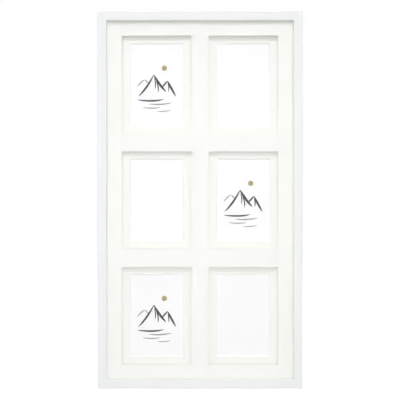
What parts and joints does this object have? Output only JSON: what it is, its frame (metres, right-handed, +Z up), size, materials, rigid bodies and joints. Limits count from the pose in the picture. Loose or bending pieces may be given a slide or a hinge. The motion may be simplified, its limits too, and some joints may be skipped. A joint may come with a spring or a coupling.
{
  "type": "collage photo frame",
  "caption": "Portrait wall frame with a white mitred moulding, a raised mat over a bevel-cut mat with a grid of upright photo windows, and a rear board held by turn clips.",
  "frame": {"origin": "on the wall plane, midway between the round ends of the two keyholes", "axes": "+X to the viewer's right, +Y away from the viewer into the wall, +Z up"},
  "size_m": [0.353, 0.028, 0.649],
  "materials": {
    "moulding": "satin",
    "mat_board": "matte",
    "insert_paper": "matte",
    "foam_core": "matte",
    "glass": "polished",
    "corrugated_card": "matte",
    "fibre_board": "matte",
    "nail_steel": "satin",
    "rivet_steel": "polished",
    "spring_steel": "satin",
    "plated_steel": "satin"
  },
  "bodies": {
    "frame": {"top_rail": "moulding", "bottom_rail": "moulding", "left_stile": "moulding", "right_stile": "moulding", "corner_v_nails": "nail_steel", "glass_pane": "glass", "outer_mat": "mat_board", "inner_mat": "mat_board", "foam_spacer": "foam_core", "insert_sheet": "insert_paper", "filler_card": "corrugated_card", "back_board": "fibre_board", "clip_rivets": "rivet_steel", "hanger_rivets": "rivet_steel", "hanger_left": "plated_steel", "hanger_right": "plated_steel"},
    "turn_clip_top_left": {"turn_clip_top_left": "spring_steel"},
    "turn_clip_bottom_left": {"turn_clip_bottom_left": "spring_steel"},
    "turn_clip_left_upper": {"turn_clip_left_upper": "spring_steel"},
    "turn_clip_left_middle": {"turn_clip_left_middle": "spring_steel"},
    "turn_clip_left_lower": {"turn_clip_left_lower": "spring_steel"},
    "turn_clip_top_right": {"turn_clip_top_right": "spring_steel"},
    "turn_clip_bottom_right": {"turn_clip_bottom_right": "spring_steel"},
    "turn_clip_right_upper": {"turn_clip_right_upper": "spring_steel"},
    "turn_clip_right_middle": {"turn_clip_right_middle": "spring_steel"},
    "turn_clip_right_lower": {"turn_clip_right_lower": "spring_steel"}
  },
  "joints": [
    {"name": "turn_clip_top_left_pivot", "type": "hinge", "parent": "frame", "child": "turn_clip_top_left", "pos_m": [-0.0815, -0.0056, 0.047], "axis": [0, 1, 0], "range_deg": [-90, 90]},
    {"name": "turn_clip_bottom_left_pivot", "type": "hinge", "parent": "frame", "child": "turn_clip_bottom_left", "pos_m": [-0.0815, -0.0056, -0.546], "axis": [0, 1, 0], "range_deg": [-90, 90]},
    {"name": "turn_clip_left_upper_pivot", "type": "hinge", "parent": "frame", "child": "turn_clip_left_upper", "pos_m": [-0.1485, -0.0056, -0.02], "axis": [0, 1, 0], "range_deg": [-90, 90]},
    {"name": "turn_clip_left_middle_pivot", "type": "hinge", "parent": "frame", "child": "turn_clip_left_middle", "pos_m": [-0.1485, -0.0056, -0.2495], "axis": [0, 1, 0], "range_deg": [-90, 90]},
    {"name": "turn_clip_left_lower_pivot", "type": "hinge", "parent": "frame", "child": "turn_clip_left_lower", "pos_m": [-0.1485, -0.0056, -0.479], "axis": [0, 1, 0], "range_deg": [-90, 90]},
    {"name": "turn_clip_top_right_pivot", "type": "hinge", "parent": "frame", "child": "turn_clip_top_right", "pos_m": [0.0815, -0.0056, 0.047], "axis": [0, 1, 0], "range_deg": [-90, 90]},
    {"name": "turn_clip_bottom_right_pivot", "type": "hinge", "parent": "frame", "child": "turn_clip_bottom_right", "pos_m": [0.0815, -0.0056, -0.546], "axis": [0, 1, 0], "range_deg": [-90, 90]},
    {"name": "turn_clip_right_upper_pivot", "type": "hinge", "parent": "frame", "child": "turn_clip_right_upper", "pos_m": [0.1485, -0.0056, -0.02], "axis": [0, 1, 0], "range_deg": [-90, 90]},
    {"name": "turn_clip_right_middle_pivot", "type": "hinge", "parent": "frame", "child": "turn_clip_right_middle", "pos_m": [0.1485, -0.0056, -0.2495], "axis": [0, 1, 0], "range_deg": [-90, 90]},
    {"name": "turn_clip_right_lower_pivot", "type": "hinge", "parent": "frame", "child": "turn_clip_right_lower", "pos_m": [0.1485, -0.0056, -0.479], "axis": [0, 1, 0], "range_deg": [-90, 90]}
  ]
}
